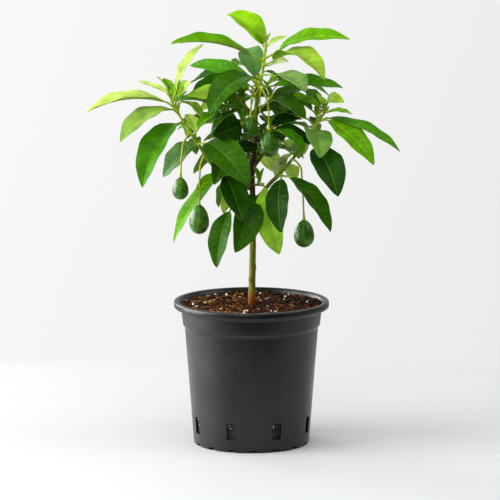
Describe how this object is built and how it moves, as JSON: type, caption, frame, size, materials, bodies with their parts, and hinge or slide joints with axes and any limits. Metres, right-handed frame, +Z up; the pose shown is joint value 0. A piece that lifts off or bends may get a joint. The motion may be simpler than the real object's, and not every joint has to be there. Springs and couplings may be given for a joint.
{
  "type": "potted avocado tree",
  "caption": "Young avocado tree that bears small green fruit, with a forked trunk and arching glossy leaves, growing in a round plastic nursery pot filled with bark potting mix.",
  "frame": {"origin": "centre of the pot's flat underside, on the surface it stands on", "axes": "+X to the right of the front view, +Y to the back, +Z up along the pot's axis and the trunk"},
  "size_m": [0.3358, 0.2115, 0.4646],
  "materials": {
    "pot": "moulded black polypropylene, semi-gloss",
    "soil": "moist bark and fibre potting mix with white perlite",
    "bark": "young bark, brown at the foot and green above",
    "foliage": "leathery leaves, glossy above and dull below, on green shoots"
  },
  "bodies": {
    "root": {"pot": "pot", "soil": "soil", "trunk": "bark", "bough_left": "bark", "bough_right": "bark", "shoot_top": "foliage", "shoot_left": "foliage", "shoot_right": "foliage", "twig_upper_right": "foliage", "twig_upper_left": "foliage", "twig_mid_right": "foliage", "twig_mid_left": "foliage", "twig_low_left": "foliage", "twig_low_right": "foliage", "branch_back_low": "foliage", "branch_back_left": "foliage", "branch_back_right": "foliage", "branch_back_top": "foliage"}
  },
  "joints": []
}
